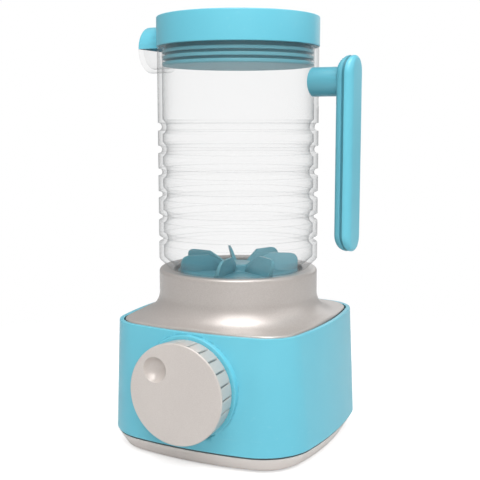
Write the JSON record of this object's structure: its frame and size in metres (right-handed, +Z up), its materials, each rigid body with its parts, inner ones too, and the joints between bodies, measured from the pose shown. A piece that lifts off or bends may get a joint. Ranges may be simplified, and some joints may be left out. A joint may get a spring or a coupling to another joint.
{
  "type": "toy blender",
  "caption": "Toy blender with a grooved clear jar, spout, lid and handle on a bowed square base; its front knob turns the paddles through gears.",
  "frame": {"origin": "where the jar's axis meets the surface that the toy stands on, in the middle of its rubber pad", "axes": "+Z up along the jar's axis, -Y towards the knob, +X towards the handle, -X towards the spout"},
  "size_m": [0.131, 0.1341, 0.2379],
  "materials": {
    "blue_plastic": "satin",
    "pearl_plastic": "pearl satin",
    "inner_blue_plastic": "satin",
    "clear_plastic": "clear, polished",
    "gear_plastic": "matte",
    "steel": "zinc plated",
    "rubber": "matte"
  },
  "bodies": {
    "base": {"base_housing": "blue_plastic", "top_cover": "pearl_plastic", "bottom_tray": "pearl_plastic", "foot_pad": "rubber", "case_screws": "steel", "gear_frame": "gear_plastic", "frame_screws": "steel", "knob_front_bush": "gear_plastic", "knob_rear_bush": "gear_plastic", "spindle_lower_bush": "gear_plastic", "spindle_upper_bush": "gear_plastic", "spindle_seal": "rubber"},
    "crank": {"knob": "pearl_plastic", "knob_shaft": "steel", "thrust_washer": "gear_plastic", "crown_gear": "gear_plastic", "knob_shaft_clip": "steel"},
    "spindle": {"spindle": "steel", "spindle_clip": "steel", "pinion_gear": "gear_plastic", "drive_coupling": "gear_plastic", "drive_coupling_pin": "steel"},
    "jar": {"jar": "clear_plastic", "rotor_bush": "gear_plastic", "rotor_seal": "rubber", "handle_inner": "inner_blue_plastic", "handle_cover": "blue_plastic", "handle_screws": "steel", "handle_mount_screw": "steel"},
    "rotor": {"blade_rotor": "blue_plastic", "rotor_shaft": "steel", "driven_coupling": "gear_plastic", "driven_coupling_pin": "steel"},
    "lid": {"lid_cap": "blue_plastic", "lid_plug": "inner_blue_plastic"}
  },
  "joints": [
    {"name": "knob_turn", "type": "hinge", "parent": "base", "child": "crank", "pos_m": [0, -0.06, 0.0428], "axis": [0, 1, 0], "continuous": true},
    {"name": "spindle_turn", "type": "hinge", "parent": "base", "child": "spindle", "pos_m": [0, 0, 0.06], "axis": [0, 0, 1], "continuous": true},
    {"name": "jar_lift", "type": "slide", "parent": "base", "child": "jar", "axis": [0, 0, 1], "range_m": [0, 0.03]},
    {"name": "rotor_turn", "type": "hinge", "parent": "jar", "child": "rotor", "pos_m": [0, 0, 0.095], "axis": [0, 0, 1], "continuous": true},
    {"name": "lid_lift", "type": "slide", "parent": "jar", "child": "lid", "axis": [0, 0, 1], "range_m": [0, 0.02]}
  ],
  "couplings": [
    {"joint": "spindle_turn", "follows": "knob_turn", "ratio": 2},
    {"joint": "rotor_turn", "follows": "knob_turn", "ratio": 2}
  ]
}
